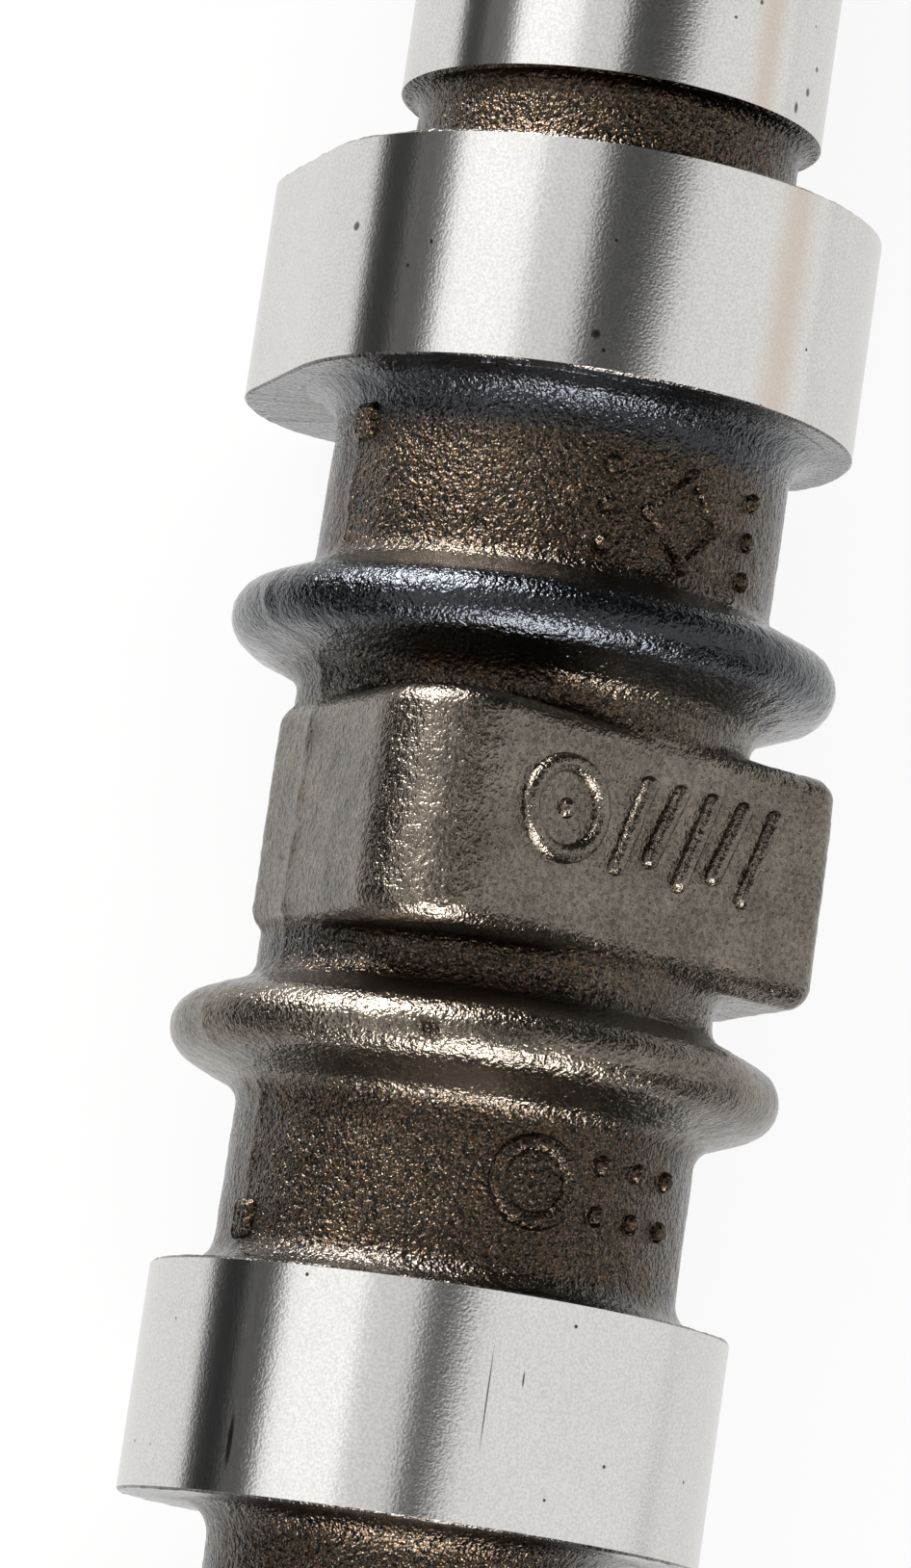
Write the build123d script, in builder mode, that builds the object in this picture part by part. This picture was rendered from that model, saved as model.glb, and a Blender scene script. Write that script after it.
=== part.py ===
from build123d import *
import os

# Camshaft of a twin-cam four-cylinder engine: one grey-iron casting, ground on its
# journals and lobes and left as cast in between.
# The shaft's axis is the X axis, +X runs from the timing-drive end to the rear end, and
# the origin is on the axis at the middle of the first cylinder's journal.
# The shaft lies as it would on a bench, with the lobes of its first two cylinders turned
# down to either side.
# Lengths are in mm. Directions about the shaft are in degrees, from straight up (+Z)
# towards +Y.

# --- Driving dimensions -------------------------------------------------------------

# Engine layout
firing_order = (1, 3, 4, 2)   # cylinders in the order in which they fire
first_nose_direction = -135.0
bore_pitch = 108.0            # one cylinder's journal to the next
valve_pitch = 40.1            # between the two lobes of one cylinder

# Bearing journals, one between the two lobes of each cylinder
journal_diameter = 26.0
journal_length = 16.0
journal_edge_break = 0.2

# Lobes
base_circle_diameter = 35.0
lobe_lift = 4.3
lobe_nose_radius = 10.2
lobe_width = 13.8
lobe_edge_break = 0.3
barrel_fillet_share = 0.6     # of a base circle's rise from the cast barrel
relief_fillet_share = 0.35    # of its rise from the relief beside a journal

# Cast core
barrel_diameter = 27.8
relief_diameter = 23.5        # grinding relief between a journal and a lobe
relief_corner_fillet = 1.0

# Guard rings, and the faceted pad between them, in the gap after the first cylinder
ring_diameter = 37.0
ring_rim_radius = 2.1         # the rim is fully rounded
ring_foot_width = 6.6
ring_fillet_share = 0.35      # of a ring's rise from the barrel
ring_pitch = 25.3
pad_width = 14.2
pad_shift = -0.3              # from the middle of the two rings
pad_ridge_radius = 5.6
pad_ridge_direction = 333.0
pad_ridge_offset = 14.05      # shaft axis to the centre of the ridge's round
pad_corner_radius = 1.8
pad_corner_directions = (71.0, 122.0, 207.0, 267.0)
pad_corner_offsets = (17.5, 17.3, 16.6, 12.9)
pad_rim_fillet = 1.5

# Drive end: thrust collar, thrust journal, sprocket flange and pilot
front_neck_length = 9.0       # first lobe to thrust collar
collar_diameter = 36.0
collar_width = 4.0
thrust_journal_length = 18.0  # flange to collar
thrust_relief_width = 2.0     # at each end of the thrust journal
flange_diameter = 36.0
flange_width = 7.0
collar_edge_break = 0.6
pilot_diameter = 20.0
pilot_length = 8.0
drive_hole_diameter = 8.5     # tapping size of the sprocket bolt
drive_hole_depth = 28.0
drive_hole_mouth = 11.0
dowel_hole_diameter = 5.0
dowel_hole_depth = 5.5
dowel_circle_diameter = 27.0

# Rear end
rear_neck_length = 7.0        # last lobe to stub
stub_diameter = 20.0
stub_length = 9.0
centre_hole_diameter = 4.0
centre_hole_depth = 7.0
centre_hole_mouth = 8.5

# Both ends
end_edge_break = 1.0
hole_mouth_cone = 60.0        # for the centres that the shaft is ground between

touch = 0.01                  # how near counts as the same place

# --- Sizes that follow --------------------------------------------------------------

journal_radius = journal_diameter / 2
base_radius = base_circle_diameter / 2
barrel_radius = barrel_diameter / 2
relief_radius = relief_diameter / 2
ring_radius = ring_diameter / 2

cylinder_count = len(firing_order)
firing_step = 360 / cylinder_count   # turn of the shaft from one cylinder's valves to the next's
nose_offset = base_radius + lobe_lift - lobe_nose_radius
barrel_root_fillet = barrel_fillet_share * (base_radius - barrel_radius)
relief_root_fillet = relief_fillet_share * (base_radius - relief_radius)

journal_stations = [cylinder * bore_pitch for cylinder in range(cylinder_count)]
journal_ends = [x + side * journal_length / 2 for x in journal_stations for side in (-1, 1)]
front_lobes = [station - valve_pitch / 2 for station in journal_stations]
rear_lobes = [station + valve_pitch / 2 for station in journal_stations]
faces_to_barrel = [x - lobe_width / 2 for x in front_lobes] + [x + lobe_width / 2 for x in rear_lobes]
faces_to_relief = [x + lobe_width / 2 for x in front_lobes] + [x - lobe_width / 2 for x in rear_lobes]

ring_middle = (rear_lobes[0] + front_lobes[1]) / 2
ring_stations = [ring_middle - ring_pitch / 2, ring_middle + ring_pitch / 2]
ring_feet = [x + side * ring_foot_width / 2 for x in ring_stations for side in (-1, 1)]
ring_foot_fillet = ring_fillet_share * (ring_radius - barrel_radius)
pad_middle = ring_middle + pad_shift

collar_rear = front_lobes[0] - lobe_width / 2 - front_neck_length
collar_front = collar_rear - collar_width
flange_rear = collar_front - thrust_journal_length
flange_front = flange_rear - flange_width
thrust_front = flange_rear + thrust_relief_width
thrust_rear = collar_front - thrust_relief_width
shaft_front = flange_front - pilot_length
thrust_ends = [thrust_front, thrust_rear]
stub_start = rear_lobes[-1] + lobe_width / 2 + rear_neck_length
shaft_rear = stub_start + stub_length


def across(station, direction=0.0):
    """Plane across the shaft, facing the drive end, with its x axis in a direction."""
    return Plane(origin=(station, 0, 0), z_dir=(-1, 0, 0),
                 x_dir=Vector(0, 0, 1).rotate(Axis.X, -direction))


def nose_direction(cylinder):
    """Where a cylinder's lobes point: each in the firing order is a step further round."""
    return first_nose_direction + firing_step * firing_order.index(cylinder + 1)


def round_length(start, end, diameter):
    """Half-profile of one round length of the shaft."""
    with Locations((start, 0)):
        Rectangle(end - start, diameter / 2, align=(Align.MIN, Align.MIN))


def corners(profile, radius, stations):
    """Corners of a half-profile that lie at a radius and at one of the stations."""
    at_radius = profile.vertices().filter_by_position(Axis.Y, radius - touch, radius + touch)
    return at_radius.filter_by(lambda corner: any(abs(corner.X - x) < touch for x in stations))


def roots(radius, faces):
    """Full circles at a radius of the shaft, where the given faces rise from it."""
    circles = camshaft.edges().filter_by(GeomType.CIRCLE).filter_by(lambda edge: edge.is_closed)
    at_radius = circles.filter_by(lambda edge: abs(edge.radius - radius) < touch)
    return at_radius.filter_by(lambda edge: any(abs(edge.center().X - x) < touch for x in faces))


with BuildPart() as camshaft:

    # Lobes: base circle and nose circle joined by straight flanks, with broken rims
    for cylinder in range(cylinder_count):
        for station in (front_lobes[cylinder], rear_lobes[cylinder]):
            with BuildSketch(across(station, nose_direction(cylinder))):
                Circle(base_radius)
                with Locations((nose_offset, 0)):
                    Circle(lobe_nose_radius)
                make_hull()
            extrude(amount=lobe_width / 2, both=True)
    chamfer(camshaft.faces().filter_by(Axis.X).edges(), lobe_edge_break)

    # Pad: facets between a broad ridge and four tighter corners, its rims rounded as cast
    with BuildSketch(across(pad_middle)):
        with PolarLocations(pad_ridge_offset, 1, start_angle=pad_ridge_direction):
            Circle(pad_ridge_radius)
        for direction, offset in zip(pad_corner_directions, pad_corner_offsets):
            with PolarLocations(offset, 1, start_angle=direction):
                Circle(pad_corner_radius)
        make_hull()
    extrude(amount=pad_width / 2, both=True)
    flat_ends = camshaft.faces().filter_by(Axis.X)
    pad_ends = flat_ends.filter_by_position(Axis.X, pad_middle - pad_width, pad_middle + pad_width)
    fillet(pad_ends.edges(), pad_rim_fillet)

    # Turned core through all of them
    with BuildSketch(Plane.XZ) as core_profile:
        round_length(shaft_front, flange_rear, pilot_diameter)
        round_length(flange_front, flange_rear, flange_diameter)
        round_length(flange_rear, collar_front, relief_diameter)
        round_length(thrust_front, thrust_rear, journal_diameter)
        round_length(collar_front, collar_rear, collar_diameter)
        round_length(collar_rear, front_lobes[0], barrel_diameter)
        for rear_lobe, next_lobe in zip(rear_lobes, front_lobes[1:]):
            round_length(rear_lobe, next_lobe, barrel_diameter)
        round_length(rear_lobes[-1], stub_start, barrel_diameter)
        round_length(stub_start, shaft_rear, stub_diameter)
        for station in journal_stations:
            round_length(station - valve_pitch / 2, station + valve_pitch / 2, relief_diameter)
            round_length(station - journal_length / 2, station + journal_length / 2, journal_diameter)
        fillet(corners(core_profile, relief_radius, journal_ends), relief_corner_fillet)
        chamfer(corners(core_profile, journal_radius, journal_ends + thrust_ends), journal_edge_break)
        chamfer(corners(core_profile, pilot_diameter / 2, [shaft_front]), end_edge_break)
        chamfer(corners(core_profile, stub_diameter / 2, [shaft_rear]), end_edge_break)
        chamfer(corners(core_profile, flange_diameter / 2, [flange_front, flange_rear]), collar_edge_break)
        chamfer(corners(core_profile, collar_diameter / 2, [collar_front, collar_rear]), collar_edge_break)
    revolve(axis=Axis.X)

    # Guard rings: a round rim whose flanks lean out to a wider foot on the barrel
    for station in ring_stations:
        with BuildSketch(Plane.XZ):
            with Locations((station, ring_radius - ring_rim_radius)):
                Circle(ring_rim_radius)
            with Locations((station, barrel_radius)):
                Rectangle(ring_foot_width, ring_rim_radius, align=(Align.CENTER, Align.MAX))
            make_hull()
        revolve(axis=Axis.X)
    fillet(roots(barrel_radius, ring_feet), ring_foot_fillet)

    # Root fillets of the lobes
    fillet(roots(barrel_radius, faces_to_barrel), barrel_root_fillet)
    fillet(roots(relief_radius, faces_to_relief), relief_root_fillet)

    # Holes in the two ends
    with Locations(across(shaft_front)):
        CounterSinkHole(drive_hole_diameter / 2, drive_hole_mouth / 2, drive_hole_depth, hole_mouth_cone)
    with Locations(across(flange_front)):
        with Locations((dowel_circle_diameter / 2, 0)):
            Hole(dowel_hole_diameter / 2, dowel_hole_depth)
    with Locations(Plane(origin=(shaft_rear, 0, 0), z_dir=(1, 0, 0))):
        CounterSinkHole(centre_hole_diameter / 2, centre_hole_mouth / 2, centre_hole_depth, hole_mouth_cone)

camshaft.part.label = "camshaft"
os.makedirs("parts", exist_ok=True)
export_step(camshaft.part, "parts/camshaft.step")

print("length", round(shaft_rear - shaft_front, 1), "volume", round(camshaft.part.volume))
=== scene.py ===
import bpy
import math
import numpy as np
from mathutils import Matrix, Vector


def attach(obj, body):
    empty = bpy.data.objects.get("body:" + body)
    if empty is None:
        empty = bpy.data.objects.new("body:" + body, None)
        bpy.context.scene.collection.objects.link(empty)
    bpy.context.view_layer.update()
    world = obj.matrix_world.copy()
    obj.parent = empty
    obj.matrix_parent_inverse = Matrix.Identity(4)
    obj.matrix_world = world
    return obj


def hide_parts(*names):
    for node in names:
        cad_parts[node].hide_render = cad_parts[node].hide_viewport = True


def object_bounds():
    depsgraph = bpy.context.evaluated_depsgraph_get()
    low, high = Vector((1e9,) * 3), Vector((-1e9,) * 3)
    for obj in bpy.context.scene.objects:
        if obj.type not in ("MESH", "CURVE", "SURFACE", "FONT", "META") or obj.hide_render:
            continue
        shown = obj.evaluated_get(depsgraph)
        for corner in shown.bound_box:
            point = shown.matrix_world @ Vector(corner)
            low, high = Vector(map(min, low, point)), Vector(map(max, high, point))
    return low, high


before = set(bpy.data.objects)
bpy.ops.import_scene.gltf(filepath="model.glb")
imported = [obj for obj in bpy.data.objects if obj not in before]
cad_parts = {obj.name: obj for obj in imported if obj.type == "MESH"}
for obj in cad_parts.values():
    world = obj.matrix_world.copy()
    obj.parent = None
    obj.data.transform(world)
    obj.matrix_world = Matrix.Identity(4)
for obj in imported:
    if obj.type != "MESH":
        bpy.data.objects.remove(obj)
cad_low, cad_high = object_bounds()

# --- First barrel ---------------------------------------------------------------------
# The cast core between the first two cylinders, with two guard rings and a faceted pad.
# Grey iron poured in a split mould, blasted clean and oiled, so it stays grainy and brown.
# Sizes are in mm, directions about the shaft in degrees from straight up towards +Y.

bore_pitch = 108.0
valve_pitch = 40.1
lobe_width = 13.8
base_radius = 17.5
barrel_radius = 13.9
barrel_root_fillet = 2.16
barrel_sunk = 0.6             # how far a barrel's hidden end runs into its lobe
ring_radius = 18.5
ring_rim_radius = 2.1
ring_foot_width = 6.6
ring_foot_fillet = 1.61
ring_stations = (41.35, 66.65)
pad_middle = 53.7
pad_width = 14.2
pad_rim_fillet = 1.5
pad_foot_fillet = 0.9
pad_rim_dull = 0.6            # the strip at each rim of the pad that isn't wholly rubbed clean
pad_rounds = ((333.0, 14.05, 5.6), (71.0, 17.5, 1.8), (122.0, 17.3, 1.8),
              (207.0, 16.6, 1.8), (267.0, 12.9, 1.8))     # direction, offset, radius
parting_direction = -74.2
parting_ridge_height = 0.16
parting_ridge_width = 0.45
parting_ridge_wave = 1.7      # radians in a mm: how fast the ridge's height comes and goes
parting_ridge_loss = 0.3      # the share of its height that comes and goes
sand_holes = ((66.8, -21.6, 0.36, 0.35), (68.3, 9.0, 0.3, 0.2),
              (36.2, -31.0, 0.3, 0.2))    # station, direction, radius, depth
sand_hole_shade = 4             # how far a hole's floor is painted from rubbed clean to deep shade
rub_start = 13.95             # the radius from which a form is rubbed clean
rub_run = 0.6                 # and how much further out it is wholly clean
fine_step = 0.02              # along a profile, before it is divided evenly
barrel_rows = 260
barrel_columns = 336

# The blue-black heat tint beside the first lobe, on the front ring and beside the second
# lobe, and the two grooves beside the pad that carry painted shade, each as (station, amount).
heat_tint = ((27, 1), (29, 1), (30.5, 0), (38.5, 0), (39.6, 1), (43.6, 1), (44.6, 0), (79, 0),
             (81, 0.4))
shade_grooves = ((43.8, 0), (44.6, 1), (46.2, 1), (46.8, 0), (60.6, 0), (61.2, 1), (62.8, 1),
               (63.6, 0))
shade_turn = 10.0               # the painted shade is deepest at -90 degrees less this
groove_rubbed = 0.6           # how clean the rest of a groove is, so that it is painted lighter as its lit side


def directions_around(columns):
    """Evenly spaced directions about the shaft, in radians."""
    return np.arange(columns) * 2 * math.pi / columns


def outline_reach(rounds, directions, inset=0.0):
    """How far the outline drawn tight around some circles lies from the axis, by direction."""
    normals = np.radians(np.arange(0, 360, 0.25))
    support = np.full(normals.shape, -np.inf)
    for direction, offset, radius in rounds:
        turned = normals - math.radians(direction)
        support = np.maximum(support, offset * np.cos(turned) + radius)
    facing = np.cos(directions[:, None] - normals[None, :])
    facing[facing < 0.05] = np.nan
    return np.nanmin((support - inset)[None, :] / facing, axis=1)


def rolled(heights, radius, step):
    """Profiles whose inner corners are filled by the arc of a rolling ball."""
    reach = int(radius / step)
    drops = [math.sqrt(radius ** 2 - (k * step) ** 2) for k in range(-reach, reach + 1)]
    padded = np.pad(heights, ((0, 0), (reach, reach)), mode="edge")
    width = heights.shape[1]
    raised = np.max([padded[:, k:k + width] + drop for k, drop in enumerate(drops)], axis=0)
    padded = np.pad(raised, ((0, 0), (reach, reach)), mode="edge")
    return np.min([padded[:, k:k + width] - drop for k, drop in enumerate(drops)], axis=0)


def evenly(stations, heights, count):
    """Each column's profile divided into rows of equal length, as (stations, radii)."""
    rows = np.empty((2, count, heights.shape[0]))
    for column, profile in enumerate(heights):
        steps = np.hypot(np.diff(stations), np.diff(profile))
        run = np.concatenate(([0], np.cumsum(steps)))
        marks = np.linspace(0, run[-1], count)
        rows[0, :, column] = np.interp(marks, run, stations)
        rows[1, :, column] = np.interp(marks, run, profile)
    return rows


def capped(rows, sunk=0.0):
    """Rows with the first and the last one repeated for the hidden ends, so much further on."""
    return np.vstack([rows[:1] - sunk, rows, rows[-1:] + sunk])


def placed(name, mesh):
    """An object for a mesh, in the scene."""
    piece = bpy.data.objects.new(name, mesh)
    bpy.context.scene.collection.objects.link(piece)
    return piece


def skin(name, stations, radii, flags):
    """A closed mesh through rows of points around the shaft, with a number on each point."""
    rows, columns = radii.shape
    around = directions_around(columns)
    points = np.stack([stations, radii * np.sin(around), radii * np.cos(around)], axis=-1)
    poles = np.array([[stations[0].mean(), 0, 0], [stations[-1].mean(), 0, 0]])
    vertices = np.concatenate([points.reshape(-1, 3), poles]) / 1000
    here = np.arange(columns)
    following = (here + 1) % columns
    faces = []
    for row in range(rows - 1):
        low, high = row * columns, (row + 1) * columns
        ring = [low + here, high + here, high + following, low + following]
        faces += np.stack(ring, axis=1).tolist()
    first, last, end = rows * columns, rows * columns + 1, (rows - 1) * columns
    pairs = list(zip(here.tolist(), following.tolist()))
    faces += [(first, a, b) for a, b in pairs]
    faces += [(last, end + b, end + a) for a, b in pairs]
    mesh = bpy.data.meshes.new(name)
    mesh.from_pydata(vertices.tolist(), [], faces)
    mesh.shade_smooth()
    for flag, values in flags.items():
        layer = mesh.attributes.new(flag, "FLOAT", "POINT")
        with_poles = np.append(values.reshape(-1), [0.0, 0.0]).astype(np.float32)
        layer.data.foreach_set("value", with_poles)
    return placed(name, mesh)


def linear(colour):
    """An sRGB hex colour as the linear colour that Blender takes."""
    channels = [int(colour[i:i + 2], 16) / 255 for i in (1, 3, 5)]
    return [c / 12.92 if c <= 0.04045 else ((c + 0.055) / 1.055) ** 2.4 for c in channels] + [1.0]


def add(tree, kind, links=None, **settings):
    """A node with its settings, and with links or values for its inputs."""
    node = tree.nodes.new(kind)
    for key, value in settings.items():
        setattr(node, key, value)
    for key, value in (links or {}).items():
        if isinstance(value, bpy.types.NodeSocket):
            tree.links.new(value, node.inputs[key])
        else:
            node.inputs[key].default_value = value
    return node


def maths(tree, operation, first, second=None, kind="ShaderNodeMath", result=0):
    """The result of an operation on one or two numbers."""
    inputs = {0: first} if second is None else {0: first, 1: second}
    return add(tree, kind, inputs, operation=operation).outputs[result]


def vectors(tree, operation, first, second=None, result=0):
    """The result of an operation on vectors or colours."""
    return maths(tree, operation, first, second, "ShaderNodeVectorMath", result)


def ranged(tree, value, source, target):
    """A value carried from one range to another, and held at both ends."""
    return add(tree, "ShaderNodeMapRange", {
        "Value": value, "From Min": source[0], "From Max": source[1],
        "To Min": target[0], "To Max": target[1]}).outputs["Result"]


def mixed(tree, factor, first, second):
    """Two colours mixed."""
    inputs = {"Factor": factor, "A": first, "B": second}
    return add(tree, "ShaderNodeMix", inputs, data_type="RGBA").outputs["Result"]


def noise(tree, vector, size, detail, roughness=0.5):
    """Noise whose patches are about as large as the size given, in the vector's own unit."""
    inputs = {"Vector": vector, "Scale": 1 / size, "Detail": detail, "Roughness": roughness}
    return add(tree, "ShaderNodeTexNoise", inputs).outputs["Fac"]


def bumped(tree, height, depth_mm, strength=1.0, **below):
    """A bump of a depth in mm, on the one below it."""
    inputs = {"Height": height, "Strength": strength, "Distance": depth_mm / 1000, **below}
    return add(tree, "ShaderNodeBump", inputs).outputs["Normal"]


def new_material(name):
    """An empty material, with its tree and its output node."""
    material = bpy.data.materials.new(name)
    material.use_nodes = True
    material.node_tree.nodes.clear()
    return material, material.node_tree, material.node_tree.nodes.new("ShaderNodeOutputMaterial")


def metal(tree, output, **inputs):
    """A metal's shader, set on the material's output."""
    shader = add(tree, "ShaderNodeBsdfPrincipled", {"Metallic": 1.0, **inputs})
    tree.links.new(shader.outputs[0], output.inputs["Surface"])


def in_millimetres(tree):
    """Where a point lies on the piece, in mm."""
    place = add(tree, "ShaderNodeTexCoord").outputs["Object"]
    return vectors(tree, "MULTIPLY", place, (1000, 1000, 1000))


# Grey iron as cast: the fine print of moulding sand, dark brown with oil and scale where
# nothing touches it and rubbed grey on the raised forms. Its facets glint one by one, and
# the pale specks on the finest grain's peaks are painted glints.
# The number "rubbed" runs from -1, painted shade, over 0 to 1, rubbed clean.
sand_grain = 0.34             # mm, one grain of the moulding sand
fine_grain = 0.13
stain_size = 3.5
grain_depth = 0.21
fine_depth = 0.04

cast_iron, tree, output = new_material("grey_iron_as_cast")
in_mm = in_millimetres(tree)
temper = add(tree, "ShaderNodeAttribute", attribute_name="temper").outputs["Fac"]
rubbed = add(tree, "ShaderNodeAttribute", attribute_name="rubbed").outputs["Fac"]
grains = noise(tree, in_mm, sand_grain, 1.5, 0.6)
fine = noise(tree, in_mm, fine_grain, 1.0)
stain = ranged(tree, noise(tree, in_mm, stain_size, 5.0, 0.65), (0.35, 0.65), (0.7, 1.25))
hollow_tone = ranged(tree, rubbed, (0, 1), (0.2, 0.62))
crown_tone = ranged(tree, rubbed, (0, 1), (1.3, 1.12))
grain_tone = ranged(tree, grains, (0.36, 0.6), (hollow_tone, crown_tone))
# Painted shade: below 0 the number darkens the colour, down to a quarter, in the grooves beside
# the pad and in the sand holes.
painted_shade_tone = ranged(tree, rubbed, (-1, 0), (0.25, 1.0))
tone = maths(tree, "MULTIPLY", maths(tree, "MULTIPLY", stain, grain_tone), painted_shade_tone)
brown_to_grey = mixed(tree, rubbed, linear("#3f3021"), linear("#71685d"))
# Painted glints: pale specks mixed in where the finest noise peaks.
painted_glints = ranged(tree, fine, (0.55, 0.7), (0.0, 0.35))
grained = mixed(tree, painted_glints, vectors(tree, "MULTIPLY", brown_to_grey, tone),
                linear("#a8a092"))
print_strength = ranged(tree, rubbed, (0, 1), (1.0, 0.55))
surface = bumped(tree, fine, fine_depth, Normal=bumped(tree, grains, grain_depth, print_strength))
metal(tree, output, **{
    "Base Color": mixed(tree, temper, grained, linear("#23262c")),
    "Roughness": ranged(tree, temper, (0, 1), (0.21, 0.11)), "Normal": surface,
    "Coat Weight": ranged(tree, temper, (0, 1), (0.35, 0.75)), "Coat Roughness": 0.12,
    "Coat Normal": surface})

# The cast skin's bumps are in the mesh too: its points move out and in by two sizes of
# noise, as far as each point's number for the cast skin says. The sizes are in metres.
skin_inputs = {"Grain Size": 0.0009, "Grain Height": 0.00016, "Swell Size": 0.009,
               "Swell Height": 0.0004, "Material": cast_iron}


def new_geometry_tree(name, inputs):
    """A node tree for a mesh with named inputs, and the sockets that bring them."""
    tree = bpy.data.node_groups.new(name, "GeometryNodeTree")
    kinds = {"Geometry": "NodeSocketGeometry", "Material": "NodeSocketMaterial"}
    for socket in ("Geometry", *inputs):
        kind = kinds.get(socket, "NodeSocketFloat")
        tree.interface.new_socket(socket, in_out="INPUT", socket_type=kind)
    tree.interface.new_socket("Geometry", in_out="OUTPUT", socket_type="NodeSocketGeometry")
    return tree, add(tree, "NodeGroupInput").outputs


def finish_geometry(tree, geometry, material):
    """End a tree: instances made real, and the material set."""
    whole = add(tree, "GeometryNodeRealizeInstances", {"Geometry": geometry}).outputs[0]
    inputs = {"Geometry": whole, "Material": material}
    finished = add(tree, "GeometryNodeSetMaterial", inputs).outputs[0]
    add(tree, "NodeGroupOutput", {"Geometry": finished})


def kept_as_mesh(piece):
    """Keep what a piece's modifiers make as its plain mesh."""
    bare = piece.data
    made = bpy.data.meshes.new_from_object(
        piece.evaluated_get(bpy.context.evaluated_depsgraph_get()))
    piece.modifiers.clear()
    piece.data = made
    made.name = piece.name
    bpy.data.meshes.remove(bare)
    return made


def worked(piece, tree, inputs):
    """Run a node tree on a piece, and keep what it makes."""
    modifier = piece.modifiers.new(tree.name, "NODES")
    modifier.node_group = tree
    for item in tree.interface.items_tree:
        if item.in_out == "INPUT" and item.name in inputs:
            modifier[item.identifier] = inputs[item.name]
    return kept_as_mesh(piece)


skin_tree, given = new_geometry_tree("cast_skin", skin_inputs)
position = add(skin_tree, "GeometryNodeInputPosition").outputs[0]
normal = add(skin_tree, "GeometryNodeInputNormal").outputs[0]
amount = add(skin_tree, "GeometryNodeInputNamedAttribute", {"Name": "as_cast"},
             data_type="FLOAT").outputs[0]
lifts = []
for size, height in (("Grain Size", "Grain Height"), ("Swell Size", "Swell Height")):
    scale = maths(skin_tree, "DIVIDE", 1.0, given[size])
    lumps = add(skin_tree, "ShaderNodeTexNoise",
                {"Vector": position, "Scale": scale, "Detail": 2.0})
    centred = maths(skin_tree, "SUBTRACT", lumps.outputs["Fac"], 0.5)
    lifts.append(maths(skin_tree, "MULTIPLY", centred, given[height]))
lift = maths(skin_tree, "MULTIPLY", maths(skin_tree, "ADD", *lifts), amount)
offset = add(skin_tree, "ShaderNodeVectorMath", {0: normal, "Scale": lift}, operation="SCALE")
moved = add(skin_tree, "GeometryNodeSetPosition",
            {"Geometry": given["Geometry"], "Offset": offset.outputs[0]})
finish_geometry(skin_tree, moved.outputs[0], given["Material"])


def ring_profile(stations):
    """Radius of the two guard rings: a round rim, and flanks that lean out to the foot."""
    heights = np.full(stations.shape, -np.inf)
    centre = ring_radius - ring_rim_radius
    half_foot = ring_foot_width / 2
    run, rise = half_foot, centre - barrel_radius
    lean = math.atan2(run, rise) - math.asin(ring_rim_radius / math.hypot(run, rise))
    touch_run = ring_rim_radius * math.cos(lean)
    for station in ring_stations:
        away = np.abs(stations - station)
        rim = centre + np.sqrt(np.maximum(ring_rim_radius ** 2 - away ** 2, 0))
        flank = barrel_radius + (half_foot - away) / math.tan(lean)
        here = np.where(away < touch_run, rim, flank)
        heights = np.maximum(heights, np.where(away < half_foot, here, -np.inf))
    return heights


def pad_profile(stations, directions):
    """Radius of the faceted pad, its rims rounded."""
    deep = pad_width / 2 - np.abs(stations - pad_middle)
    heights = np.full((len(directions), len(stations)), -np.inf)
    for index in np.flatnonzero(deep >= 0):
        short = max(pad_rim_fillet - deep[index], 0)
        inset = pad_rim_fillet - math.sqrt(pad_rim_fillet ** 2 - short ** 2)
        heights[:, index] = outline_reach(pad_rounds, directions, inset)
    return heights


def parting_ridge(stations, directions):
    """Height of the ridge that the two halves of the mould leave, on both sides."""
    heights = 0
    for direction in (parting_direction, parting_direction + 180):
        away = (directions - math.radians(direction) + math.pi) % (2 * math.pi) - math.pi
        heights = heights + np.exp(-(away * barrel_radius / parting_ridge_width) ** 2)
    wave = parting_ridge_loss * np.sin(stations * parting_ridge_wave)
    return parting_ridge_height * heights[None, :] * (1 - parting_ridge_loss + wave)


def rubbed_clean(radii):
    """How far a raised form is rubbed clean, from 0 at the barrels to 1 at the rims."""
    return np.clip((radii - rub_start) / rub_run, 0, 1)


barrel_start = valve_pitch / 2 + lobe_width / 2
barrel_end = bore_pitch - barrel_start


def root_profile(stations):
    """Radius of a plain barrel with the fillets that run up its two lobes."""
    near = np.minimum(stations - barrel_start, barrel_end - stations)
    short = np.clip(barrel_root_fillet - near, 0, barrel_root_fillet)
    return barrel_radius + barrel_root_fillet - np.sqrt(barrel_root_fillet ** 2 - short ** 2)


def cast_piece(name, stations, radii, **flags):
    """A piece of the shaft that is as cast all over, through rows of points."""
    flags = {"as_cast": np.ones(stations.shape), **flags}
    flags = {flag: capped(values) for flag, values in flags.items()}
    piece = skin(name, capped(stations, barrel_sunk), capped(radii), flags)
    worked(piece, skin_tree, skin_inputs)
    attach(piece, "root")
    return piece


around = directions_around(barrel_columns)
along = np.arange(barrel_start, barrel_end + fine_step / 2, fine_step)
ringed = np.maximum(barrel_radius, ring_profile(along))[None, :]
ringed = rolled(ringed, ring_foot_fillet, fine_step)
padded = rolled(np.maximum(ringed, pad_profile(along, around)), pad_foot_fillet, fine_step)
profiles = np.maximum(padded, root_profile(along)[None, :])
stations, radii = evenly(along, profiles, barrel_rows)
radii = radii + parting_ridge(stations, around)
temper = np.interp(stations, *zip(*heat_tint))
groove = np.interp(stations, *zip(*shade_grooves))
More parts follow.
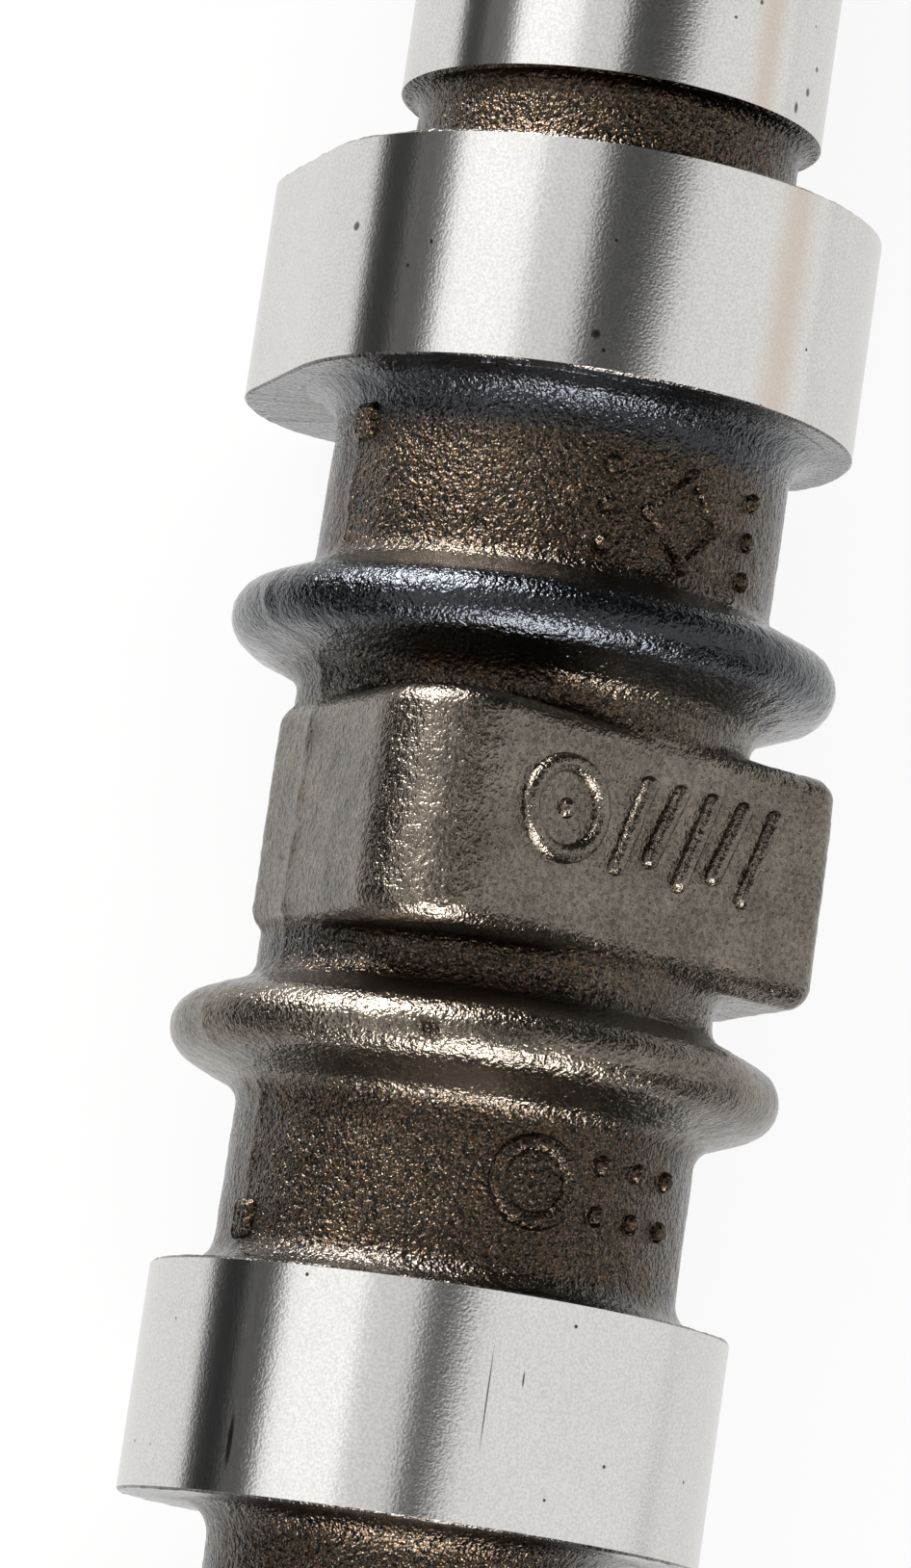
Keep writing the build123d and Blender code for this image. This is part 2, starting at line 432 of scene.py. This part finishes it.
# Painted light and shade in the grooves beside the pad: darkest towards -80 degrees, and lighter,
# part rubbed clean, on the rest of each groove.
painted_shade = groove * (0.5 - 0.5 * np.sin(around + math.radians(shade_turn)))
rubbed = rubbed_clean(radii) * (1 - painted_shade) + groove_rubbed * (groove - painted_shade) - painted_shade
rubbed = np.clip(rubbed, -1, 1)
rubbed[np.abs(stations - pad_middle) < pad_width / 2 - pad_rim_dull] = 1
for station, direction, hole_radius, hole_depth in sand_holes:
    turn = (around - math.radians(direction) + math.pi) % (2 * math.pi) - math.pi
    dent = np.exp(-((stations - station) ** 2 + (turn * radii) ** 2) / hole_radius ** 2)
    radii = radii - hole_depth * dent
    # Painted shade: each hole's floor is darkened in colour.
    rubbed = np.clip(rubbed - sand_hole_shade * dent, -1, 1)
first_barrel = cast_piece("first_barrel", stations, radii, temper=temper, rubbed=rubbed)
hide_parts("camshaft")

# --- Casting marks --------------------------------------------------------------------
# Raised marks that plain pins and bars in the mould leave on the first barrel: a date
# dial's ring and pip, slanted bars, a diamond, a ring and some pips, and two small
# patches of trimmed flash by the parting ridge. They spell nothing.

mark_radius = 0.6             # mm, half the width of a raised line
mark_sunk = 0.05              # its middle, below the surface
pip_half = 0.06               # half the length of the short line that makes a pip
facet_start = np.array([-3.95, 17.57])    # where the pad's long facet starts, as (Y, Z)
facet_run = np.array([0.9011, -0.4338])
facet_normal = np.array([0.4338, 0.9011])
dial = (52.6, 4.0, 2.7)       # station, distance across the facet, radius
bar_count = 5
bar_start = 8.9               # across the facet
bar_pitch = 2.5
bar_front, bar_rear = 50.0, 55.2
bar_lean = (1.1, -0.6)        # how far each end lies aside of the bar's place
bar_short = 0.9               # every second bar is shorter
diamond = ((31.3, 22), (34.0, 33), (36.7, 22), (34.0, 11), (31.3, 22))  # station, direction
front_pips = [(station, direction) for station in (31.6, 34.0, 36.4) for direction in (44, 0)]
rear_pips = [(station, direction) for direction in (24, 36, 48) for station in (72.6, 75.6)]
rear_ring = (74.3, 6, 2.3)    # station, direction, radius
flash_directions = (-73.5, -71.5, -69.5)
front_flash, rear_flash = (29.3, 30.4), (77.6, 79.0)      # from station to station
rear_flash_turn = -2


def on_facet(points):
    """Points (station, distance across) laid on the pad's long facet."""
    spots = [facet_start + facet_run * across - facet_normal * mark_sunk for _, across in points]
    return [(station, y, z) for (station, _), (y, z) in zip(points, spots)]


def on_barrel(points):
    """Points (station, direction) laid on the barrel."""
    radius = barrel_radius - mark_sunk
    turns = [math.radians(direction) for _, direction in points]
    return [(station, radius * math.sin(turn), radius * math.cos(turn))
            for (station, _), turn in zip(points, turns)]


def ring_of(station, across, radius, count=28):
    """Points round a circle, the first one repeated at the end."""
    turns = [2 * math.pi * k / count for k in range(count + 1)]
    return [(station + radius * math.cos(t), across + radius * math.sin(t)) for t in turns]


def pip_at(station, across):
    """The two ends of a line so short that it is a pip."""
    return [(station - pip_half, across), (station + pip_half, across)]


lines = [on_facet(ring_of(*dial)), on_facet(pip_at(*dial[:2]))]
for index in range(bar_count):
    across = bar_start + bar_pitch * index
    rear = bar_rear - bar_short * (index % 2)
    lines.append(on_facet([(bar_front, across + bar_lean[0]), (rear, across + bar_lean[1])]))
lines.append(on_barrel(diamond))
lines += [on_barrel(pip_at(*spot)) for spot in front_pips]
for direction in flash_directions:
    lines.append(on_barrel([(station, direction) for station in front_flash]))
    lines.append(on_barrel([(station, direction + rear_flash_turn) for station in rear_flash]))
station, direction, radius = rear_ring
lines.append(on_barrel([(station + x, direction + math.degrees(y / barrel_radius))
                        for x, y in ring_of(0, 0, radius)]))
lines += [on_barrel(pip_at(*spot)) for spot in rear_pips]

mark_inputs = {"Radius": mark_radius / 1000, "Material": cast_iron}
mark_tree, given = new_geometry_tree("raised_lines", mark_inputs)
path = add(mark_tree, "GeometryNodeMeshToCurve", {"Mesh": given["Geometry"]}).outputs[0]
circle = add(mark_tree, "GeometryNodeCurvePrimitiveCircle",
             {"Resolution": 14, "Radius": given["Radius"]}).outputs[0]
tube = add(mark_tree, "GeometryNodeCurveToMesh",
           {"Curve": path, "Profile Curve": circle, "Fill Caps": True}).outputs[0]
ball = add(mark_tree, "GeometryNodeMeshIcoSphere",
           {"Radius": given["Radius"], "Subdivisions": 3}).outputs[0]
knots = add(mark_tree, "GeometryNodeCurveToPoints", {"Curve": path}, mode="EVALUATED").outputs[0]
balls = add(mark_tree, "GeometryNodeInstanceOnPoints", {"Points": knots, "Instance": ball})
joined = add(mark_tree, "GeometryNodeJoinGeometry")
mark_tree.links.new(tube, joined.inputs[0])
mark_tree.links.new(balls.outputs[0], joined.inputs[0])
finish_geometry(mark_tree, joined.outputs[0], given["Material"])

points, edges = [], []
for line in lines:
    closed = np.allclose(line[0], line[-1])
    ids = list(range(len(points), len(points) + len(line) - closed))
    points += line[:len(ids)]
    edges += list(zip(ids, ids[1:])) + ([(ids[-1], ids[0])] if closed else [])
mark_mesh = bpy.data.meshes.new("casting_marks")
mark_mesh.from_pydata((np.array(points) / 1000).tolist(), edges, [])
marks = placed("casting_marks", mark_mesh)
made = worked(marks, mark_tree, mark_inputs)
made.shade_smooth()
corners = np.empty(len(made.vertices) * 3, np.float32)
made.vertices.foreach_get("co", corners)
over_pad = (np.abs(corners[::3] * 1000 - pad_middle) < pad_width / 2).astype(np.float32)
made.attributes.new("rubbed", "FLOAT", "POINT").data.foreach_set("value", over_pad)
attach(marks, "root")

# --- Plain barrels --------------------------------------------------------------------
# The cast core between the other cylinders, from the same pour as the first barrel and
# with the same skin, but with neither rings nor pad.

plain_rows = 96
plain_columns = 216
plain_heat_tint = ((27, 1), (28.5, 0.8), (30.5, 0), (77.5, 0), (79.5, 0.8), (81, 1))

around = directions_around(plain_columns)
profiles = np.repeat(root_profile(along)[None, :], len(around), axis=0)
stations, radii = evenly(along, profiles, plain_rows)
radii = radii + parting_ridge(stations, around)
temper = np.interp(stations, *zip(*plain_heat_tint))
for gap, name in ((1, "second_barrel"), (2, "third_barrel")):
    cast_piece(name, stations + gap * bore_pitch, radii, temper=temper,
               rubbed=rubbed_clean(radii))

# --- Lobe pairs -----------------------------------------------------------------------
# Each cylinder's two lobes, with the journal between them. They are part of the casting;
# the lobes' rims and the journals are ground bright, and the reliefs stay as cast.

lobe_lift = 4.3
lobe_nose_radius = 10.2
lobe_edge_break = 0.15
lobe_face_radii = (11.0, 14.5)            # rows on a lobe's outer face, the first one hidden
lobe_columns = 336
nose_directions = (-135.0, 135.0, -45.0, 45.0)
journal_radius = 13.0
journal_length = 16.0
journal_edge_break = 0.2
relief_radius = 11.75
relief_root_fillet = 2.01
relief_corner_fillet = 1.0
relief_rim = 0.6              # from the relief's fillet to the next row on the lobe's face
tint_start = 14.0             # the radius from which a cast face is tinted by heat
sharp_angle = math.radians(28)

# Ground grey iron: fine scratches run around the shaft, and the stone leaves a speckle
# of small open pores. It gives soft, bright bands along the shaft.
ground_speckle = 0.17         # mm
ground_speckle_depth = 0.008
ground_scratch = 0.12         # mm; drawn some four times as coarse as it is, so that it shows
ground_scratch_depth = 0.002
scratch_turns = 12            # how often the scratches change in one radian
ground_cloud = 9.0
ground_pore_pitch = 2.6
ground_pore = (0.03, 0.055)   # from a pore's floor to its rim, in pitches
straw_direction = 30.0        # a stripe of straw-coloured oil on the first lobes and journal
straw_end = 33.0
nicks = ((18.8, -20.4, 0.32, 0.32), (24.8, -3.0, 0.3, 0.3), (91.7, -15.6, 1.7, 0.2),
         (87.4, -0.4, 3.2, 0.05), (86.0, 1.6, 0.5, 0.07), (5.6, 15.2, 0.3, 0.35),
         (6.9, 13.6, 0.4, 0.3), (3.9, 16.4, 0.2, 0.3),
         (1.6, 7.6, 0.18, 0.2))           # station, distance around, half length, half width

ground_iron, tree, output = new_material("grey_iron_ground")
in_mm = in_millimetres(tree)
split = add(tree, "ShaderNodeSeparateXYZ", {0: in_mm}).outputs
turn = maths(tree, "ARCTAN2", split["Y"], split["Z"])
streak = add(tree, "ShaderNodeCombineXYZ", {"X": split["X"], "Y": turn}).outputs[0]
stretched = vectors(tree, "MULTIPLY", streak, (1 / ground_scratch, scratch_turns, 1))
scratches = noise(tree, stretched, 1.0, 2.0)
speckle = noise(tree, in_mm, ground_speckle, 1.5)
clouds = noise(tree, in_mm, ground_cloud, 3.0)
fleck = ranged(tree, speckle, (0.35, 0.62), (0.88, 1.04))
tone = mixed(tree, clouds, linear("#dad8d4"), linear("#e2e1df"))
tone = vectors(tree, "MULTIPLY", tone, fleck)
pores = add(tree, "ShaderNodeTexVoronoi",
            {"Vector": in_mm, "Scale": 1 / ground_pore_pitch, "Randomness": 1.0})
clear_of_pores = ranged(tree, pores.outputs["Distance"], ground_pore, (0, 1))
tone = mixed(tree, clear_of_pores, linear("#3b2a20"), tone)
aside = maths(tree, "SUBTRACT", turn, math.radians(straw_direction))
stripe = ranged(tree, maths(tree, "ABSOLUTE", aside), (0.02, 0.11), (0.5, 0.0))
stripe = maths(tree, "MULTIPLY", stripe, maths(tree, "LESS_THAN", split["X"], straw_end))
tone = mixed(tree, stripe, tone, linear("#c9b49c"))
around_mm = maths(tree, "MULTIPLY", turn, base_radius)
unrolled = add(tree, "ShaderNodeCombineXYZ", {"X": split["X"], "Y": around_mm}).outputs[0]
for station, distance, half_length, half_width in nicks:
    away = vectors(tree, "SUBTRACT", unrolled, (station, distance, 0))
    away = vectors(tree, "MULTIPLY", away, (1 / half_length, 1 / half_width, 0))
    away = vectors(tree, "LENGTH", away, result="Value")
    tone = mixed(tree, ranged(tree, away, (0.6, 1.1), (0.85, 0.0)), tone, linear("#2e2823"))
surface = bumped(tree, speckle, ground_speckle_depth,
                 Normal=bumped(tree, scratches, ground_scratch_depth))
metal(tree, output, **{"Base Color": tone, "Roughness": 0.18, "Normal": surface})


def arc(start, end, centre, radius, count):
    """So many cast rows on an arc between two angles in degrees, from +X towards outwards."""
    angles = np.radians(np.linspace(start, end, count))
    return [(centre[0] + radius * math.cos(a), centre[1] + radius * math.sin(a), 0)
            for a in angles]


def part_ground(name, rows, around, finish):
    """A piece through rows of (station, radii, 1 if machined), as cast or with the finish."""
    stations = np.array([np.full(around.shape, x) for x, _, _ in rows])
    radii = np.array([np.broadcast_to(r, around.shape) for _, r, _ in rows])
    ground = np.array([np.full(around.shape, float(g)) for _, _, g in rows])
    heat = np.clip(radii - tint_start, 0, 1) * (1 - ground)
    flags = {"as_cast": 1 - ground, "rubbed": rubbed_clean(radii), "temper": heat}
    piece = skin(name, stations, radii, flags)
    mesh = worked(piece, skin_tree, skin_inputs)
    mesh.materials.append(finish)
    machined = [rows[i][2] == 1 and rows[i + 1][2] == 1 for i in range(len(rows) - 1)]
    machined += [rows[0][2] == 1] + [rows[-1][2] == 1]
    for polygon in mesh.polygons:
        row = min(polygon.index // len(around), len(machined) - 1)
        polygon.material_index = 1 if machined[row] else 0
    mesh.set_sharp_from_angle(angle=sharp_angle)
    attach(piece, "root")
    return piece


around = directions_around(lobe_columns)
half_journal = journal_length / 2
journal_middle = 0.01         # just off the middle, because the rows are mirrored
inner_face = valve_pitch / 2 - lobe_width / 2
outer_face = valve_pitch / 2 + lobe_width / 2
nose_offset = base_radius + lobe_lift - lobe_nose_radius
root_start = inner_face - relief_root_fillet
root_centre = (root_start, relief_radius + relief_root_fillet)
floor_end = half_journal + relief_corner_fillet
corner_centre = (floor_end, relief_radius + relief_corner_fillet)

for cylinder, nose_direction in enumerate(nose_directions):
    circles = ((0, 0, base_radius), (nose_direction, nose_offset, lobe_nose_radius))
    reach = outline_reach(circles, around)
    half = [(outer_face, radius, 0) for radius in lobe_face_radii]
    half += [(outer_face, reach - lobe_edge_break, 0), (outer_face - lobe_edge_break, reach, 1)]
    half += [(valve_pitch / 2, reach, 1), (inner_face + lobe_edge_break, reach, 1)]
    half += [(inner_face, reach - lobe_edge_break, 0)]
    half += [(inner_face, relief_radius + relief_root_fillet + relief_rim, 0)]
    half += arc(0, -90, root_centre, relief_root_fillet, 9)
    half += [(x, relief_radius, 0) for x in np.linspace(root_start, floor_end, 8)[1:-1]]
    half += arc(-90, -180, corner_centre, relief_corner_fillet, 5)
    half += [(half_journal, journal_radius - journal_edge_break, 0)]
    half += [(half_journal - journal_edge_break, journal_radius, 1)]
    half += [(journal_middle, journal_radius, 1)]
    rows = [(-x, r, g) for x, r, g in half] + half[::-1]
    rows = [(x + cylinder * bore_pitch, r, g) for x, r, g in rows]
    part_ground(f"lobe_pair_{cylinder + 1}", rows, around, ground_iron)

# --- Drive end ------------------------------------------------------------------------
# The end that carries the timing sprocket: a pilot, a flange with a dowel hole, and a
# thrust journal between the flange and a collar. All of it is turned from the casting.

shaft_front = -73.0
pilot_radius = 10.0
pilot_edge_break = 1.0
flange_front, flange_rear = -65.0, -58.0
collar_front, collar_rear = -40.0, -36.0
collar_radius = 18.0          # the flange's too
collar_edge_break = 0.6
thrust_relief_width = 2.0
drive_hole_radius = 4.25
drive_hole_mouth = 5.5
drive_hole_bottom = -45.0
cone_half_angle = math.radians(30)
thread_pitch = 1.5
thread_depth = 0.7
thread_rows = 8               # in one pitch
thread_free = 4.0             # from the hole's bottom to the thread
thread_slope = 5.0            # of a groove's walls, in depths a pitch
thread_floor = 1.25           # a groove's depth before its floor is cut flat at 1
dowel_hole_radius = 2.5
dowel_hole_depth = 5.5
dowel_offset = 13.5
dowel_hole_columns = 48
drill_start = 1.0             # how far in front of the flange the drill starts
drive_columns = 240

# Turned grey iron: the tool leaves a fine groove round and round, and across the end faces
# it runs in rings. It is duller and darker than the ground surfaces.
tool_feed = 0.35              # mm; drawn twice as coarse as it is, so that it shows
tool_groove_depth = 0.004
turned_cloud = 6.0
turned_cloud_depth = 0.12

turned_iron, tree, output = new_material("grey_iron_turned")
in_mm = in_millimetres(tree)
lengthwise = add(tree, "ShaderNodeSeparateXYZ", {0: in_mm}).outputs["X"]
crosswise = vectors(tree, "MULTIPLY", in_mm, (0, 1, 1))
advance = maths(tree, "ADD", lengthwise, vectors(tree, "LENGTH", crosswise, result="Value"))
rings = maths(tree, "SINE", maths(tree, "MULTIPLY", advance, 2 * math.pi / tool_feed))
clouds = noise(tree, in_mm, turned_cloud, 4.0, 0.6)
surface = bumped(tree, clouds, turned_cloud_depth,
                 Normal=bumped(tree, rings, tool_groove_depth))
metal(tree, output, **{
    "Base Color": mixed(tree, clouds, linear("#8f8a83"), linear("#b1ada8")),
    "Roughness": 0.28, "Normal": surface})


def turned_band(front, rear, radius, edge_break):
    """Rows of a turned band with both its edges broken."""
    return [(front, radius - edge_break, 1), (front + edge_break, radius, 1),
            (rear - edge_break, radius, 1), (rear, radius - edge_break, 1)]


around = directions_around(drive_columns)
thread_start = drive_hole_bottom - thread_free
mouth_cone = (drive_hole_mouth - drive_hole_radius) / math.tan(cone_half_angle)
cone_bottom = shaft_front + mouth_cone
thrust_front = flange_rear + thrust_relief_width
thrust_rear = collar_front - thrust_relief_width
rows = [(drive_hole_bottom, drive_hole_radius, 1)]
for station in np.arange(thread_start, cone_bottom, -thread_pitch / thread_rows):
    lead = (station / thread_pitch - around / (2 * math.pi)) % 1
    groove = np.clip(thread_floor - thread_slope * np.abs(lead - 0.5), 0, 1)
    runout = (thread_start - station) / thread_pitch, (station - cone_bottom) / thread_pitch
    depth = thread_depth * max(min(*runout, 1), 0)
    rows.append((station, drive_hole_radius + depth * groove, 1))
rows += [(cone_bottom, drive_hole_radius, 1), (shaft_front, drive_hole_mouth, 1)]
rows += [(shaft_front, pilot_radius - pilot_edge_break, 1)]
rows += [(shaft_front + pilot_edge_break, pilot_radius, 1), (flange_front, pilot_radius, 1)]
rows += turned_band(flange_front, flange_rear, collar_radius, collar_edge_break)
rows += [(flange_rear, relief_radius, 1), (thrust_front, relief_radius, 1)]
rows += turned_band(thrust_front, thrust_rear, journal_radius, journal_edge_break)
rows += [(thrust_rear, relief_radius, 1), (collar_front, relief_radius, 1)]
rows += turned_band(collar_front, collar_rear, collar_radius, collar_edge_break)
first_face = -outer_face
neck_end = first_face - barrel_root_fillet
neck_root_radius = barrel_radius + barrel_root_fillet
rows += [(x, barrel_radius, 0) for x in np.linspace(collar_rear, neck_end, 16)]
rows += arc(-90, 0, (neck_end, neck_root_radius), barrel_root_fillet, 7)[1:]
rows += [(first_face + barrel_sunk, neck_root_radius, 0)]
drive_end = part_ground("drive_end", rows, around, turned_iron)

turns = directions_around(dowel_hole_columns)
rim = [(dowel_hole_radius * math.cos(t), dowel_offset + dowel_hole_radius * math.sin(t))
       for t in turns]
count = len(rim)
stations = (flange_front - drill_start, flange_front + dowel_hole_depth)
ends = [(x, y, z) for x in stations for y, z in rim]
faces = [(i, (i + 1) % count, count + (i + 1) % count, count + i) for i in range(count)]
faces += [tuple(range(count))[::-1], tuple(range(count, 2 * count))]
cutter_mesh = bpy.data.meshes.new("dowel_cutter")
cutter_mesh.from_pydata((np.array(ends) / 1000).tolist(), [], faces)
cutter = placed("dowel_cutter", cutter_mesh)
drilled = drive_end.modifiers.new("dowel_hole", "BOOLEAN")
drilled.object = cutter
drilled.operation = "DIFFERENCE"
drilled.solver = "EXACT"
kept_as_mesh(drive_end)
bpy.data.objects.remove(cutter)

# --- Rear end -------------------------------------------------------------------------
# A short cast neck behind the last lobe, then a plain turned stub with the centre that
# the shaft is ground on.

rear_neck_length = 7.0
stub_radius = 10.0
stub_length = 9.0
stub_edge_break = 1.0
centre_hole_radius = 2.0
centre_hole_mouth = 4.25
centre_hole_depth = 7.0
rear_columns = 160

around = directions_around(rear_columns)
last_face = 3 * bore_pitch + outer_face
neck_start = last_face + barrel_root_fillet
stub_start = last_face + rear_neck_length
shaft_rear = stub_start + stub_length
centre_cone = (centre_hole_mouth - centre_hole_radius) / math.tan(cone_half_angle)
rows = [(last_face - barrel_sunk, neck_root_radius, 0)]
rows += arc(180, 270, (neck_start, neck_root_radius), barrel_root_fillet, 7)
rows += [(x, barrel_radius, 0) for x in np.linspace(neck_start, stub_start, 12)[1:]]
rows += [(stub_start, stub_radius, 1), (shaft_rear - stub_edge_break, stub_radius, 1)]
rows += [(shaft_rear, stub_radius - stub_edge_break, 1), (shaft_rear, centre_hole_mouth, 1)]
rows += [(shaft_rear - centre_cone, centre_hole_radius, 1)]
rows += [(shaft_rear - centre_hole_depth, centre_hole_radius, 1)]
part_ground("rear_end", rows, around, turned_iron)

# --- Floor, light and camera ----------------------------------------------------------
# A plain white table under the shaft, a dark card on it, soft boxes to the sides and two
# flashes that draw the small highlights, and the camera.

floor_level = cad_low[2]
floor_half = 4.0              # metres, as all that follows
shaft_middle = 0.147
card_lift = 0.0005
card_low, card_high = (-0.5, -0.9), (0.8, -0.074)


def flat_sheet(name, low, high, level):
    """A level rectangle between two corners (X, Y)."""
    mesh = bpy.data.meshes.new(name)
    corners = [(low[0], low[1], level), (high[0], low[1], level), (high[0], high[1], level),
               (low[0], high[1], level)]
    mesh.from_pydata(corners, [], [(0, 1, 2, 3)])
    return placed(name, mesh)


# White table: matt laminate that glows a little by itself, so that it comes out white in
# the picture and still takes the shaft's shadow. The metal mirrors it less bright.
white_table, tree, output = new_material("white_table")
matt = add(tree, "ShaderNodeBsdfDiffuse", {"Color": linear("#464645")})
rays = add(tree, "ShaderNodeLightPath").outputs
place = add(tree, "ShaderNodeTexCoord").outputs["Object"]
far = vectors(tree, "DISTANCE", place, (shaft_middle, 0, floor_level), result="Value")
seen = ranged(tree, far, (0.25, 1.2), (0.9, 1.0))
mirrored = ranged(tree, far, (0.35, 1.2), (0.78, 0.3))
glow = maths(tree, "ADD", maths(tree, "MULTIPLY", seen, rays["Is Camera Ray"]),
             maths(tree, "MULTIPLY", mirrored, rays["Is Glossy Ray"]))
lit = add(tree, "ShaderNodeEmission", {"Color": (1, 1, 1, 1), "Strength": glow})
table = add(tree, "ShaderNodeAddShader", {0: matt.outputs[0], 1: lit.outputs[0]})
tree.links.new(table.outputs[0], output.inputs["Surface"])
floor = flat_sheet("floor", (-floor_half, -floor_half), (floor_half, floor_half), floor_level)
floor.data.materials.append(white_table)

# A dark card lies on the table to the left of the shaft. Only the polished metal sees it,
# and it draws the dark line that tells a round surface from a flat one.
black_felt, tree, output = new_material("black_felt")
black = add(tree, "ShaderNodeBsdfDiffuse", {"Color": linear("#0a0a0a")})
clear = add(tree, "ShaderNodeBsdfTransparent")
is_mirrored = add(tree, "ShaderNodeLightPath").outputs["Is Glossy Ray"]
felt = add(tree, "ShaderNodeMixShader", {0: is_mirrored, 1: clear.outputs[0], 2: black.outputs[0]})
tree.links.new(felt.outputs[0], output.inputs["Surface"])
card = flat_sheet("dark_card", card_low, card_high, floor_level + card_lift)
card.data.materials.append(black_felt)

# The studio around: dim for the metal, white behind everything for the camera.
world = bpy.data.worlds.new("studio")
world.use_nodes = True
bpy.context.scene.world = world
tree = world.node_tree
tree.nodes.clear()
dim = add(tree, "ShaderNodeBackground", {"Color": (1, 1, 1, 1), "Strength": 0.05})
white = add(tree, "ShaderNodeBackground", {"Color": (1, 1, 1, 1), "Strength": 1.0})
is_seen = add(tree, "ShaderNodeLightPath").outputs["Is Camera Ray"]
studio = add(tree, "ShaderNodeMixShader", {0: is_seen, 1: dim.outputs[0], 2: white.outputs[0]})
add(tree, "ShaderNodeOutputWorld", {"Surface": studio.outputs[0]})

aim = np.array([0.054, 0, 0])             # the middle of the first barrel
lamp_distance = 0.6


def put(thing, place, across, up, towards):
    """Set where an object stands and how its own axes lie."""
    pose = np.eye(4)
    pose[:3, 0], pose[:3, 1], pose[:3, 2], pose[:3, 3] = across, up, towards, place
    thing.matrix_world = Matrix(pose.tolist())


def soft_box(name, direction, tilt, slant, size, glow):
    """A soft box facing the first barrel, with its direction about the shaft, its tilt along
    the shaft, how it is turned about its own axis, and its glow."""
    turn, lean, slant = (math.radians(angle) for angle in (direction, tilt, slant))
    outward = np.array([math.sin(lean), math.cos(lean) * math.sin(turn),
                        math.cos(lean) * math.cos(turn)])
    across = np.cross((1, 0, 0), outward)
    across /= np.linalg.norm(across)
    along = np.cross(outward, across)
    along *= np.sign(along[0])
    side = along * math.cos(slant) + across * math.sin(slant)
    light = bpy.data.lights.new(name, "AREA")
    light.shape = "RECTANGLE"
    light.size, light.size_y = size
    light.energy = glow * math.pi * size[0] * size[1]
    put(placed(name, light), aim + outward * lamp_distance, side, np.cross(outward, side), outward)


soft_box("left_box", -57.1, -10, 14.3, (1.4, 0.35), 1.19)
soft_box("middle_box", -31.6, 0, 19.1, (1.4, 0.256), 0.74)
soft_box("right_box", 42.6, 0, -115.6, (1.7, 0.565), 0.88)
soft_box("front_flash", -76, -52, 0, (0.38, 0.34), 25.0)
soft_box("rear_flash", -10, 60, 0, (0.36, 0.42), 14.0)

camera_place = np.array([0.11504, -0.0936, 0.4154])
camera_right = np.array([-0.14336, 0.96236, 0.23086])
camera_down = np.array([0.978, 0.17347, -0.11585])
camera_forward = np.array([-0.15153, 0.20917, -0.96607])
camera_lens = 163.36          # mm, on a sensor 36 mm wide

camera_data = bpy.data.cameras.new("camera")
camera_data.lens = camera_lens
camera_data.sensor_width = 36
camera_data.clip_start = 0.01
camera = placed("camera", camera_data)
put(camera, camera_place, camera_right, -camera_down, -camera_forward)
bpy.context.scene.camera = camera
bpy.context.scene.view_settings.view_transform = "Standard"
